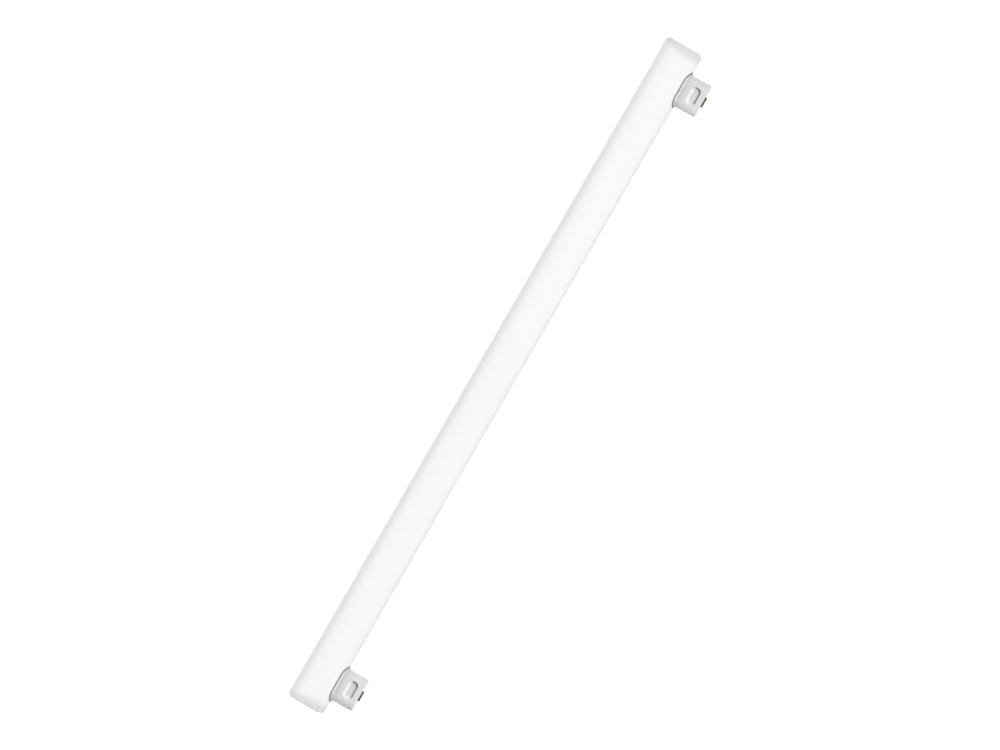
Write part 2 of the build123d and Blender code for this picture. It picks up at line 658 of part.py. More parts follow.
nodes = {
    "diffuser_tube": diffuser_tube(),
    "end_cap_left": plug,
    "end_cap_right": turned * plug,
    "lamp_cap_left": Pos(cap_left_x, 0, 0) * cap,
    "lamp_cap_right": Pos(cap_right_x, 0, 0) * turned * cap,
    "contact_left": Pos(cap_left_x, 0, 0) * brass,
    "contact_right": Pos(cap_right_x, 0, 0) * turned * brass,
    "led_board": led_board(),
    "led_packages": led_packages(),
    "led_phosphor": led_phosphor(),
    "driver_board": driver_board(),
    "driver_sleeve": driver_sleeve(),
    "fusible_resistor": fusible_resistor(),
    "surge_varistor": surge_varistor(),
    "film_capacitor": film_capacitor(),
    "bridge_rectifier": bridge_rectifier(),
    "filter_choke": filter_choke(),
    "smoothing_capacitor": smoothing_capacitor(),
    "driver_chip": driver_chip(),
    "chip_resistors": chip_resistors(),
    "line_lead": line_lead(),
    "neutral_lead": neutral_lead(),
    "neutral_link": neutral_link(),
    "led_lead_plus": led_lead(LEAD_ROW_Y),
    "led_lead_minus": led_lead(-LEAD_ROW_Y),
}

os.makedirs("parts", exist_ok=True)
for name, shape in nodes.items():
    export_step(shape, f"parts/{name}.step")
    print(name, round(shape.volume, 2), len(shape.solids()))
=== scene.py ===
# %% [markdown]
# # A linear LED tube lamp, dressed round its CAD frame
# The lamp is a straight opal tube with a rounded plug in each end and two moulded caps on its side,
# which push into lampholders. The CAD model fixes every size and place. This script gives the lamp
# its look: it loads the solids, makes the round pieces again with finer walls, and paints each
# surface with its own finish.

# %% Load the solids
import math

import bmesh
import bpy
from mathutils import Matrix, Vector


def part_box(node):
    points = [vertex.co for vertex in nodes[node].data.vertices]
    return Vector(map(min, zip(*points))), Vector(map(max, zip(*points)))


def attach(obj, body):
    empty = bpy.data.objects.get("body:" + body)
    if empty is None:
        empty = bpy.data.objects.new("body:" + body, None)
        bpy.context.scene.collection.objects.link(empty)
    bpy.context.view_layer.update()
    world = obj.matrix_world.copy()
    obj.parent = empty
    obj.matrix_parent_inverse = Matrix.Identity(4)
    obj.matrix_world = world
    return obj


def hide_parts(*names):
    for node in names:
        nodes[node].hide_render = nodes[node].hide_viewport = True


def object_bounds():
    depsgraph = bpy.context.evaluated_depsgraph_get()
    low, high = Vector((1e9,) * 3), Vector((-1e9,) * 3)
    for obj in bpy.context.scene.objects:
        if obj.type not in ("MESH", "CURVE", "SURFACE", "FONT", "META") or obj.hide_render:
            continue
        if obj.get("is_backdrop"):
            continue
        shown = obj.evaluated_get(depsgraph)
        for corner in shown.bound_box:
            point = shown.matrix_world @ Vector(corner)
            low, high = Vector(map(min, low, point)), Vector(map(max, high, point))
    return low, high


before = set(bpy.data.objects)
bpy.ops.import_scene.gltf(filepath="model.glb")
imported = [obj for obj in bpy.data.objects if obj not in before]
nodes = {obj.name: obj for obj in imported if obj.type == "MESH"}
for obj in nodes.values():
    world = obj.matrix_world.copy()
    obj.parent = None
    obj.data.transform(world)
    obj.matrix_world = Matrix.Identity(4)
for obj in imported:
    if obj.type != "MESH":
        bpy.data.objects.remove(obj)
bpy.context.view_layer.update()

# %% [markdown]
# ## Camera
# The photograph looks square at the lamp's side from far away: the tube is as thick at its upper
# end as at its lower one, so there is no perspective to copy and an orthographic camera fits. The
# picture is turned so that the tube climbs to the right at 60 degrees. We write the camera's matrix
# from its right, up and back arrows, which is plainer than guessing three angles.

# %% Place the camera
MM = 0.001
ALONG = Vector((1.0, 0.0, 0.0))
UPWARD = Vector((0.0, 0.0, 1.0))
TUBE_CLIMB = math.radians(60.0)
PICTURE_WIDTH = 657.2 * MM
CAMERA_DISTANCE = 2.0
AIM = Vector((0.001905, 0.0, 0.027108))

picture_right = math.cos(TUBE_CLIMB) * ALONG - math.sin(TUBE_CLIMB) * UPWARD
picture_up = math.sin(TUBE_CLIMB) * ALONG + math.cos(TUBE_CLIMB) * UPWARD
picture_back = picture_right.cross(picture_up)

lens = bpy.data.cameras.new("side_view")
lens.type = "ORTHO"
lens.ortho_scale = PICTURE_WIDTH
camera = bpy.data.objects.new("side_view", lens)
bpy.context.scene.collection.objects.link(camera)
turn = Matrix((picture_right, picture_up, picture_back)).transposed().to_4x4()
camera.matrix_world = Matrix.Translation(AIM + CAMERA_DISTANCE * picture_back) @ turn
bpy.context.scene.camera = camera
print("camera looks along", tuple(round(v, 3) for v in -picture_back))

# %% [markdown]
# ## A short way to write shaders
# A finish is a small sum: a base colour, plus a little noise, plus a mask. Written as nodes and
# links by hand that takes many lines, so one class wraps a socket and lets us add, multiply and
# compare sockets as numbers. Every operator comes with its mirrored form, so that both mask - 1 and
# 1 - mask work.


# %% Sockets that can be reckoned with
class Value:
    """A number that changes over a surface: an output socket in a tree of nodes."""

    def __init__(self, sheet, socket):
        self.sheet = sheet
        self.socket = socket

    def reckon(self, operation, *terms):
        """The result of one Math node."""
        step = self.sheet.node("Math", {"operation": operation}, dict(enumerate(terms)))
        return Value(self.sheet, step.outputs["Value"])

    def __add__(self, other):
        return self.reckon("ADD", self, other)

    def __sub__(self, other):
        return self.reckon("SUBTRACT", self, other)

    def __rsub__(self, other):
        return self.reckon("SUBTRACT", other, self)

    def __mul__(self, other):
        return self.reckon("MULTIPLY", self, other)

    def __gt__(self, other):
        return self.reckon("GREATER_THAN", self, other)

    def __lt__(self, other):
        return self.reckon("LESS_THAN", self, other)

    def __or__(self, other):
        return self.reckon("MAXIMUM", self, other)

    def __abs__(self):
        return self.reckon("ABSOLUTE", self)

    __radd__ = __add__
    __rmul__ = __mul__
    __ror__ = __or__

    def rise(self, low, high):
        """0 below low, 1 above high and a soft slope between them."""
        inputs = {"Value": self, "From Min": low, "From Max": high}
        step = self.sheet.node("MapRange", {"interpolation_type": "SMOOTHSTEP"}, inputs)
        return Value(self.sheet, step.outputs["Result"])


print("values can be added, multiplied and compared")

# %% [markdown]
# ## Trees of nodes
# A material and the world are both trees of nodes, so one class makes nodes for either: it takes
# the node's type, then its settings, then what goes into its sockets. A finish is such a tree with
# a few short cuts that every surface here needs: a coordinate, some noise, a blend of two colours,
# a relief.


# %% Make nodes
class Sheet:
    """A tree of nodes that is written from the top down."""

    def __init__(self, tree):
        self.tree = tree

    def node(self, kind, settings=None, inputs=None):
        """Makes a node, sets its settings, and fills or links its sockets."""
        made = self.tree.nodes.new("ShaderNode" + kind)
        for setting, value in (settings or {}).items():
            setattr(made, setting, value)
        for name, value in (inputs or {}).items():
            self.feed(self.find(made.inputs, name), value)
        return made

    def find(self, sockets, name):
        """A socket by its identifier, which is never used twice, or else by its name or number."""
        by_identifier = {socket.identifier: socket for socket in sockets}
        return by_identifier[name] if name in by_identifier else sockets[name]

    def feed(self, socket, value):
        """Links a value to a socket, or sets the socket to a plain number or colour."""
        if isinstance(value, Value):
            value = value.socket
        if isinstance(value, bpy.types.NodeSocket):
            self.tree.links.new(value, socket)
        else:
            socket.default_value = value


print("nodes can be made")

# %% Make finishes
CREVICE_SAMPLES = 16


class Finish(Sheet):
    """A material with the short cuts that the lamp's surfaces need."""

    def __init__(self, name):
        self.material = bpy.data.materials.new(name)
        self.material.use_nodes = True
        super().__init__(self.material.node_tree)
        self.shader = self.tree.nodes["Principled BSDF"]
        self.spot = self.node("TexCoord").outputs["Object"]

    def axis(self, letter):
        """One coordinate of the surface, in metres."""
        return Value(self, self.node("SeparateXYZ", inputs={"Vector": self.spot}).outputs[letter])

    def noise(self, scale, detail=3.0):
        """Soft noise from 0 to 1. The scale is one number, or three with one for each axis."""
        scales = scale if isinstance(scale, tuple) else (scale, scale, scale)
        stretch = {"Vector": self.spot, "Scale": scales}
        spread = self.node("Mapping", {"vector_type": "POINT"}, stretch).outputs["Vector"]
        inputs = {"Vector": spread, "Scale": 1.0, "Detail": detail}
        return Value(self, self.node("TexNoise", inputs=inputs).outputs["Fac"])

    def crevice(self, reach, shut, clear):
        """1 in a groove that sees the share shut of the sky or less, and 0 from clear upwards."""
        settings = {"samples": CREVICE_SAMPLES}
        open_sky = self.node("AmbientOcclusion", settings, {"Distance": reach}).outputs["AO"]
        return 1.0 - Value(self, open_sky).rise(shut, clear)

    def facing(self, direction):
        """1 where the surface faces a direction, -1 where it faces away from it."""
        normal = self.node("NewGeometry").outputs["Normal"]
        inputs = {0: normal, 1: Vector(direction).normalized()}
        turned = self.node("VectorMath", {"operation": "DOT_PRODUCT"}, inputs)
        return Value(self, turned.outputs["Value"])

    def blend(self, share, first, second):
        """A colour between two, each a triple of numbers or an earlier blend."""
        inputs = {"Factor_Float": share}
        for socket, colour in (("A_Color", first), ("B_Color", second)):
            inputs[socket] = (*colour, 1.0) if isinstance(colour, tuple) else colour
        made = self.node("Mix", {"data_type": "RGBA"}, inputs)
        return self.find(made.outputs, "Result_Color")

    def relief(self, height, depth):
        """Bumps of the given depth in metres."""
        bump = self.node("Bump", inputs={"Height": height, "Distance": depth})
        self.feed(self.shader.inputs["Normal"], bump.outputs["Normal"])

    def set(self, **inputs):
        """Fills or links the shader's sockets, whose names have _ for each space."""
        for name, value in inputs.items():
            self.feed(self.shader.inputs[name.replace("_", " ")], value)


print("finishes can be written")

# %% [markdown]
# ## Opal plastic
# The tube is drawn through a die, so its skin has very faint lines that run along it, and the white
# filler is never quite even. Both are hardly seen as colour, but they break the shine. Behind the
# last few millimetres there is a solid plug in place of the hollow tube, so less light comes back
# from there, and each end gets a greyer band of painted shade. That band fades out in a bow, so its
# mask is the distance along X, less the square of the height above or below the band's middle. The
# painted shade lets go where the surface turns to face left or right, so the plugs' end faces stay
# white. Where the tube meets a cap, a mask that feels for shut-in places finds the seam by itself,
# and the seam gets painted shade.

# %% Find the painted shade over the plugs
PLUG_SHADE_FROM_TO = (240.5 * MM, 247.5 * MM)
PLUG_SHADE_LEVEL = 26.5 * MM
PLUG_SHADE_BOW = 14.0
LEFT_FACE_FROM_TO = (0.0, 0.8)
RIGHT_FACE_FROM_TO = (0.86, 1.0)

opal = Finish("opal_plastic")
off_level = opal.axis("Z") - PLUG_SHADE_LEVEL
bowed = abs(opal.axis("X")) - off_level * off_level * PLUG_SHADE_BOW
left_face = opal.facing(-ALONG).rise(*LEFT_FACE_FROM_TO)
right_face = opal.facing(ALONG).rise(*RIGHT_FACE_FROM_TO)
# painted shade: a greyer band at each end of the tube, bowed, and kept off the end faces
plug_shade_mask = bowed.rise(*PLUG_SHADE_FROM_TO) * (1.0 - (left_face | right_face))
print("plug mask:", len(opal.tree.nodes), "nodes")

# %% Paint the opal plastic
OPAL_TONES = ((0.915, 0.915, 0.913), (0.94, 0.94, 0.94))
OPAL_ROUGHNESS = 0.52
CLOUD_SCALE = 22.0
CLOUD_SHARE = 0.6
DIE_LINE_SCALES = (6.0, 1400.0, 1400.0)
DIE_LINE_SHARE = 0.4
DIE_LINE_ROUGHNESS = 0.10
DIE_LINE_DEPTH = 0.015 * MM
# the grey of the painted shade at the tube's ends
PLUG_SHADE_TONE = (0.71, 0.71, 0.71)
PLUG_SHADE_SHARE = 0.86
# the dark colour of painted shade, in the seams and on the caps' shaded pocket walls
PAINTED_SHADE_DARK = (0.12, 0.12, 0.115)
SEAM_SHADE_REACH = 1.8 * MM
SEAM_SHADE_SKY = (0.35, 1.0)
SEAM_SHADE_SHARE = 0.9

die_lines = opal.noise(DIE_LINE_SCALES, detail=2.0)
clouds = opal.noise(CLOUD_SCALE)
opal_white = opal.blend(clouds * CLOUD_SHARE + die_lines * DIE_LINE_SHARE, *OPAL_TONES)
# the tube's white, with painted shade at both ends
opal_shade = opal.blend(plug_shade_mask * PLUG_SHADE_SHARE, opal_white, PLUG_SHADE_TONE)
# painted shade: the tube darkens where it meets a cap, found by ambient occlusion
seam_shade = opal.crevice(SEAM_SHADE_REACH, *SEAM_SHADE_SKY)
opal.set(
    Base_Color=opal.blend(seam_shade * SEAM_SHADE_SHARE, opal_shade, PAINTED_SHADE_DARK),
    Roughness=OPAL_ROUGHNESS + die_lines * DIE_LINE_ROUGHNESS,
    IOR=1.5,
)
opal.relief(die_lines, DIE_LINE_DEPTH)
print("opal plastic:", len(opal.tree.nodes), "nodes")

# %% [markdown]
# ## Cap plastic
# The caps are injection moulded in a spark-eroded mould, which leaves a fine even grain, and they
# are a shade greyer than the tube. Their upper part, towards the lip, and their pockets get painted
# light, which evens out their shading. The holder's springs polish the grain in thin streaks along
# Z, which only change the roughness. The lower and right-hand walls of each snap pocket get painted
# shade, and the walls across from them a painted highlight: inside a box round the pockets, both
# masks ask which way a wall faces. The lip against the tube gets a painted highlight, and the
# cap's corners and the groove along the tube get painted shade.

# %% Find the caps' pockets, corners and lips
CAPS_MIDDLE = -1.4 * MM
CAPS_HALF_APART = 225.3 * MM
POCKET_LEVEL = 8.7 * MM
POCKET_HALF_LENGTH = 6.6 * MM
POCKET_HALF_HEIGHT = 3.7 * MM
POCKET_MOUTH = 6.94 * MM
# the pocket walls that face this way get painted shade
POCKET_SHADE_SIDE = (-0.7, 0.0, 0.7)
POCKET_SHADE_FROM_TO = (0.20, 0.60)
POCKET_HIGHLIGHT_FROM_TO = (-0.12, 0.0)
CORNER_REACH = 2.5 * MM
CORNER_SKY = (0.55, 1.0)
SEAM_REACH = 1.4 * MM
SEAM_SKY = (0.05, 0.25)
LIP_HIGHLIGHT_FROM_TO = (7.8 * MM, 8.2 * MM)
LIFT_FROM_TO = (1.0 * MM, 14.0 * MM)

cap_plastic = Finish("cap_plastic")
in_pocket = (
    (abs(abs(cap_plastic.axis("X") - CAPS_MIDDLE) - CAPS_HALF_APART) < POCKET_HALF_LENGTH)
    * (abs(cap_plastic.axis("Z") - POCKET_LEVEL) < POCKET_HALF_HEIGHT)
    * (abs(cap_plastic.axis("Y")) < POCKET_MOUTH)
)
# painted shade on the lower and right-hand pocket walls
towards_pocket_shade = cap_plastic.facing(POCKET_SHADE_SIDE)
pocket_shade = in_pocket * towards_pocket_shade.rise(*POCKET_SHADE_FROM_TO)
# painted highlight on the pocket walls across from the shaded ones
pocket_highlight = in_pocket * (1.0 - towards_pocket_shade.rise(*POCKET_HIGHLIGHT_FROM_TO))
# painted shade in the caps' corners, found by ambient occlusion, outside the pockets
corner = cap_plastic.crevice(CORNER_REACH, *CORNER_SKY) * (1.0 - in_pocket)
# painted shade in the narrow groove where the cap's lip meets the tube
seam = cap_plastic.crevice(SEAM_REACH, *SEAM_SKY)
# painted highlight along the lip against the tube
lip_highlight = abs(cap_plastic.axis("Y")).rise(*LIP_HIGHLIGHT_FROM_TO)
# painted light: the caps get lighter towards the lip, which evens out their shading
lip_side_lift = cap_plastic.axis("Z").rise(*LIFT_FROM_TO)
print("cap masks:", len(cap_plastic.tree.nodes), "nodes")

# %% Paint the cap plastic
CAP_TONES = ((0.655, 0.655, 0.653), (0.745, 0.745, 0.743))
CAP_ROUGHNESS = 0.40
GRAIN_SCALE = 2600.0
GRAIN_SHARE = 0.2
GRAIN_ROUGHNESS = 0.10
GRAIN_DEPTH = 0.02 * MM
FLOW_SCALE = 60.0
FLOW_SHARE = 0.4
LIFT_SHARE = 0.4
POCKET_LIFT_SHARE = 0.5
STREAK_SCALES = (2200.0, 2200.0, 60.0)
STREAK_FROM_TO = (0.52, 0.72)
STREAK_POLISH = 0.10
CAP_HIGHLIGHT = (0.90, 0.90, 0.898)
POCKET_HIGHLIGHT_SHARE = 0.9
LIP_HIGHLIGHT_SHARE = 0.7
# the colour of the painted shade in the caps' corners
CORNER_SHADE = (0.25, 0.25, 0.245)
POCKET_SHADE_SHARE = 0.85
POCKET_SHADE_ROUGHNESS = 0.2

grain = cap_plastic.noise(GRAIN_SCALE, detail=2.0)
flow = cap_plastic.noise(FLOW_SCALE)
streaks = cap_plastic.noise(STREAK_SCALES, detail=2.0).rise(*STREAK_FROM_TO)
# painted light towards the lip and in the pockets
painted_lift = lip_side_lift * LIFT_SHARE
lightness = flow * FLOW_SHARE + grain * GRAIN_SHARE + painted_lift + in_pocket * POCKET_LIFT_SHARE
cap_grey = cap_plastic.blend(lightness, *CAP_TONES)
# painted highlights: a paler colour on the lit pocket walls and on the lip
painted_highlight = (pocket_highlight * POCKET_HIGHLIGHT_SHARE) | (lip_highlight * LIP_HIGHLIGHT_SHARE)
cap_highlighted = cap_plastic.blend(painted_highlight, cap_grey, CAP_HIGHLIGHT)
cap_shaded = cap_plastic.blend(corner, cap_highlighted, CORNER_SHADE)
rough = CAP_ROUGHNESS + grain * GRAIN_ROUGHNESS
# the base colour ends in painted shade: the groove and the shaded pocket walls
cap_plastic.set(
    Base_Color=cap_plastic.blend(seam | (pocket_shade * POCKET_SHADE_SHARE), cap_shaded, PAINTED_SHADE_DARK),
    Roughness=rough - streaks * STREAK_POLISH + pocket_shade * POCKET_SHADE_ROUGHNESS,
    IOR=1.55,
)
cap_plastic.relief(grain, GRAIN_DEPTH)
print("cap plastic:", len(cap_plastic.tree.nodes), "nodes")

# %% [markdown]
# ## Brass
# The contacts are stamped from brass sheet and have dulled. Metal has no colour of its own besides
# its reflections, so the dull film is a darker brown base that noise breaks up. That base is
# painted far darker than tarnish alone, as a painted dark reflection. The flat face, where the
# holder's spring rubs, is brighter and smoother.

# %% Paint the brass
BRASS_BRIGHT = (0.42, 0.345, 0.20)
# tarnish, painted much darker so that it also stands for a painted dark reflection
BRASS_TARNISH_AND_REFLECTION = (0.050, 0.044, 0.034)
BRASS_ROUGHNESS = 0.36
FILM_SCALE = 700.0
FILM_SHARE = 0.8
FILM_ROUGHNESS = 0.18
SCRATCH_SCALES = (300.0, 9000.0, 9000.0)
SCRATCH_SHARE = 0.2
SCRATCH_DEPTH = 0.01 * MM
WORN_FROM_TO = (0.02 * MM, 0.25 * MM)
WORN_SHARE = 0.35
WORN_POLISH = 0.10
DARKENING_FROM_TO = (0.0, 0.6)

brass = Finish("contact_brass")
film = brass.noise(FILM_SCALE, detail=4.0)
scratches = brass.noise(SCRATCH_SCALES, detail=2.0)
worn = 1.0 - brass.axis("Z").rise(*WORN_FROM_TO)
# where the brass darkens: tarnish, and a painted dark reflection
tarnish_and_reflection = film * FILM_SHARE + scratches * SCRATCH_SHARE - worn * WORN_SHARE
brass.set(
    Base_Color=brass.blend(tarnish_and_reflection.rise(*DARKENING_FROM_TO), BRASS_BRIGHT, BRASS_TARNISH_AND_REFLECTION),
    Roughness=BRASS_ROUGHNESS + film * FILM_ROUGHNESS - worn * WORN_POLISH,
    Metallic=1.0,
)
brass.relief(scratches, SCRATCH_DEPTH)
print("brass:", len(brass.tree.nodes), "nodes")

# %% [markdown]
# ## Diffuser tube
# The tube is an extrusion: one wall section pulled straight, with two pairs of small rails inside
# that hold the circuit board, and an opening in its underside for each cap. A cylinder from the
# menu would be a stand-in with no wall. Here a thin rectangle, which is the wall cut lengthwise, is
# spun round the lamp's axis, so the outside and the bore come from the same few corners. Two
# mouldings that meet always show a fine line between them, so the two outer corners are broken by a
# few hundredths of a millimetre.

# %% Set the tube's sizes
ROUND_STEPS = 192
LENGTHWISE_CUTS = 23
TUBE_RADIUS = 13.2 * MM
BORE_RADIUS = 11.9 * MM
AXIS = Vector((0.0, 0.0, 29.75 * MM))
SEAM_CHAMFER = 0.04 * MM
MERGE_DISTANCE = 0.001 * MM

tube_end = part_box("diffuser_tube")[1].x
print("tube", round(2 * tube_end / MM, 2), "mm long,", round(2 * TUBE_RADIUS / MM, 2), "mm thick")


# %% Spin the wall
def draw(shape, points, closed=False):
    """A line through a few corners, each given by its distances along and from the axis."""
    corners = [shape.verts.new(AXIS + Vector((x, 0.0, r))) for x, r in points]
    pairs = list(zip(corners, corners[1:]))
    if closed:
        pairs.append((corners[-1], corners[0]))
    return corners, [shape.edges.new(pair) for pair in pairs]


def turn_round(shape):
    """Spins all that is drawn once round the lamp's axis and closes the seam and the poles."""
    bmesh.ops.spin(
        shape,
        geom=[*shape.verts, *shape.edges],
        cent=AXIS,
        axis=ALONG,
        angle=math.tau,
        steps=ROUND_STEPS,
        use_merge=True,
    )
    bmesh.ops.remove_doubles(shape, verts=shape.verts, dist=MERGE_DISTANCE)
    bmesh.ops.recalc_face_normals(shape, faces=shape.faces)


def measure(name, shape):
    """Prints how many faces a shape has, and how many of its edges aren't closed."""
    loose = sum(1 for edge in shape.edges if not edge.is_manifold)
    print(name, len(shape.faces), "faces,", loose, "open edges")


tube = bmesh.new()
wall = [
    (-tube_end, TUBE_RADIUS - SEAM_CHAMFER),
    (-tube_end + SEAM_CHAMFER, TUBE_RADIUS),
    (tube_end - SEAM_CHAMFER, TUBE_RADIUS),
    (tube_end, TUBE_RADIUS - SEAM_CHAMFER),
    (tube_end, BORE_RADIUS),
    (-tube_end, BORE_RADIUS),
]
_, sides = draw(tube, wall, closed=True)
outside_and_bore = [sides[1], sides[4]]
bmesh.ops.subdivide_edges(tube, edges=outside_and_bore, cuts=LENGTHWISE_CUTS)
turn_round(tube)
measure("tube wall", tube)

# %% [markdown]
# ## Openings for the caps
# Each cap snaps into an opening of the tube's underside. The opening is a rectangle with round
# corners, so it is convex, and a convex outline is what a ring of straight cuts leaves: we slice
# the underside with one plane for each direction round the outline, drop the faces that lie inside
# every plane, and bridge the rims of the outer and inner wall. A Boolean would do it too, but it
# leaves ragged triangles that catch the light.

# %% Write the cuts
OPENING_LENGTH = 21.3 * MM
OPENING_WIDTH = 10.4 * MM
OPENING_CORNER = 3.7 * MM
OPENING_MARGIN = 1.0 * MM
UNDERSIDE_LEVEL = AXIS.z - 0.8 * BORE_RADIUS
CUT_DIRECTIONS = 24
CUT_TOLERANCE = 0.0001 * MM


def slice_faces(shape, faces, place, normal):
    """Cuts the given faces along a plane. Their old handles are dead after that."""
    edges = {edge for face in faces for edge in face.edges}
    verts = {vert for face in faces for vert in face.verts}
    bmesh.ops.bisect_plane(
        shape, geom=[*verts, *edges, *faces], plane_co=place, plane_no=normal, dist=CUT_TOLERANCE
    )


def outline_planes(middle_x):
    """A point and an outward arrow for each straight cut round one opening."""
    planes = []
    for step in range(CUT_DIRECTIONS):
        angle = math.tau * step / CUT_DIRECTIONS
        out = Vector((math.cos(angle), math.sin(angle), 0.0))
        corner = Vector((
            middle_x + math.copysign(OPENING_LENGTH / 2 - OPENING_CORNER, out.x),
            math.copysign(OPENING_WIDTH / 2 - OPENING_CORNER, out.y),
            0.0,
        ))
        planes.append((corner + OPENING_CORNER * out, out))
    return planes


def underside(shape, middle_x, reach):
    """The faces of both walls that lie at the bottom of the tube and near one cap."""
    found = []
    for face in shape.faces:
        middle = face.calc_center_median()
        if abs(middle.x - middle_x) < reach and middle.z < UNDERSIDE_LEVEL:
            found.append(face)
    return found


print(CUT_DIRECTIONS, "cuts round each opening")


# %% Cut the openings
def open_underside(shape, middle_x):
    """Cuts one opening through the tube's wall."""
    reach = OPENING_LENGTH / 2 + OPENING_MARGIN
    for x in (middle_x - reach, middle_x + reach):
        slice_faces(shape, list(shape.faces), (x, 0.0, 0.0), ALONG)
    planes = outline_planes(middle_x)
    for place, out in planes:
        slice_faces(shape, underside(shape, middle_x, reach), place, out)
    inside = [
        face
        for face in underside(shape, middle_x, reach)
        if all((face.calc_center_median() - place).dot(out) < 0.0 for place, out in planes)
    ]
    bmesh.ops.delete(shape, geom=inside, context="FACES")
    bmesh.ops.bridge_loops(shape, edges=[edge for edge in shape.edges if edge.is_boundary])


for cap in ("lamp_cap_left", "lamp_cap_right"):
    low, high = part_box(cap)
    open_underside(tube, (low.x + high.x) / 2)
measure("tube with openings", tube)

# %% [markdown]
# ## Rails
# Four rails run along the bore and hold the board's edges. In the die they are notches, so here
# they are strips of the bore's own faces: cut the bore along the rails' top and bottom, push the
# strip inwards and flatten it at the rail's tip. Nothing is added as a separate box, so the wall
# stays one closed skin.

# %% Push out the rails
RAIL_LEVELS = ((26.65 * MM, 27.65 * MM), (28.85 * MM, 29.85 * MM))
RAIL_TIP = 9.713 * MM
BORE_TOLERANCE = 0.1 * MM
END_FACE_TURN = 0.5


def bore_faces(shape):
    """The faces of the bore, known by how far they lie from the axis."""
    found = []
    for face in shape.faces:
        middle = face.calc_center_median() - AXIS
        at_bore = abs(math.hypot(middle.y, middle.z) - BORE_RADIUS) < BORE_TOLERANCE
        if at_bore and abs(face.normal.x) < END_FACE_TURN:
            found.append(face)
    return found


def rail_strip(shape, side, low, high):
    """The faces of the bore between two levels, on one side of the tube."""
    found = []
    for face in bore_faces(shape):
        middle = face.calc_center_median()
        if low < middle.z < high and side * middle.y > 0.0:
            found.append(face)
    return found


for level in [z for pair in RAIL_LEVELS for z in pair]:
    slice_faces(tube, bore_faces(tube), (0.0, 0.0, level), UPWARD)
for side in (-1.0, 1.0):
    for low, high in RAIL_LEVELS:
        strip = rail_strip(tube, side, low, high)
        pushed = bmesh.ops.extrude_face_region(tube, geom=strip)["geom"]
        tips = [item for item in pushed if isinstance(item, bmesh.types.BMVert)]
        tip_plane = Matrix.Translation((0.0, -side * RAIL_TIP, 0.0))
        bmesh.ops.scale(tube, vec=(1.0, 0.0, 1.0), space=tip_plane, verts=tips)
        bmesh.ops.delete(tube, geom=strip, context="FACES")
measure("tube with rails", tube)

# %% [markdown]
# ## From a bmesh to a piece of the lamp
# A bmesh is only a workbench. To show, it becomes a mesh with smooth shading, except along edges
# that turn sharply, and an object that rides on the lamp and hides the CAD solid it stands for. The
# object stays at the origin, because its place is already in the mesh.

# %% Stand the tube in for its CAD node
SHARP_ANGLE = math.radians(32.0)


def stand_in(name, shape, finish, cad_node):
    """Makes a finished bmesh a piece of the lamp, shown in place of one CAD node."""
    bmesh.ops.recalc_face_normals(shape, faces=shape.faces)
    mesh = bpy.data.meshes.new(name)
    shape.to_mesh(mesh)
    shape.free()
    mesh.shade_smooth()
    mesh.set_sharp_from_angle(angle=SHARP_ANGLE)
    mesh.materials.append(finish.material)
    piece = bpy.data.objects.new(name, mesh)
    bpy.context.scene.collection.objects.link(piece)
    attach(piece, "root")
    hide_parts(cad_node)
    print(name, "stands in for", cad_node)


stand_in("tube_wall", tube, opal, "diffuser_tube")

# %% [markdown]
# ## End plugs
# A plug closes each end: a thick disc with a generous round on its outer edge, and a spigot that is
# slotted so that it passes the rails. The disc is a line from the axis outwards and back, with one
# corner bevelled before it is spun: bevelling the line's corner is cheaper and cleaner than
# bevelling the finished edge. Where it meets the tube, its corner is broken as finely as the
# tube's. The spigot is a ring, sliced into an upper and a lower crescent.

# %% Turn the spigot
SPIGOT_RADIUS = 11.8 * MM
SPIGOT_WALL = 1.4 * MM
SPIGOT_LENGTH = 7.0 * MM
SPIGOT_LEAD_IN = 0.45 * MM
SLOT_LEVELS = (26.35 * MM, 30.15 * MM)


def round_corner(shape, corner, size, segments):
    """Bevels one corner of a line that is still to be spun."""
    bmesh.ops.bevel(
        shape,
        geom=[corner],
        offset=size,
        affect="VERTICES",
        segments=segments,
        profile=0.5,
        material=-1,
    )


def crescent(start, stop, level, up):
    """The part of the spigot that lies above or below one level."""
    ring = bmesh.new()
    inner = SPIGOT_RADIUS - SPIGOT_WALL
    rim = [(start, inner), (start, SPIGOT_RADIUS), (stop, SPIGOT_RADIUS), (stop, inner)]
    corners, _ = draw(ring, rim, closed=True)
    round_corner(ring, corners[2], SPIGOT_LEAD_IN, segments=1)
    turn_round(ring)
    bmesh.ops.bisect_plane(
        ring,
        geom=[*ring.verts, *ring.edges, *ring.faces],
        plane_co=(0.0, 0.0, level),
        plane_no=up * UPWARD,
        clear_inner=True,
    )
    bmesh.ops.holes_fill(ring, edges=[edge for edge in ring.edges if edge.is_boundary])
    return ring


print("spigot", round(SPIGOT_LENGTH / MM, 2), "mm long")

# %% Turn the plugs
PLUG_ROUND = 3.0 * MM
PLUG_ROUND_SEGMENTS = 16
SUNK = 0.1 * MM


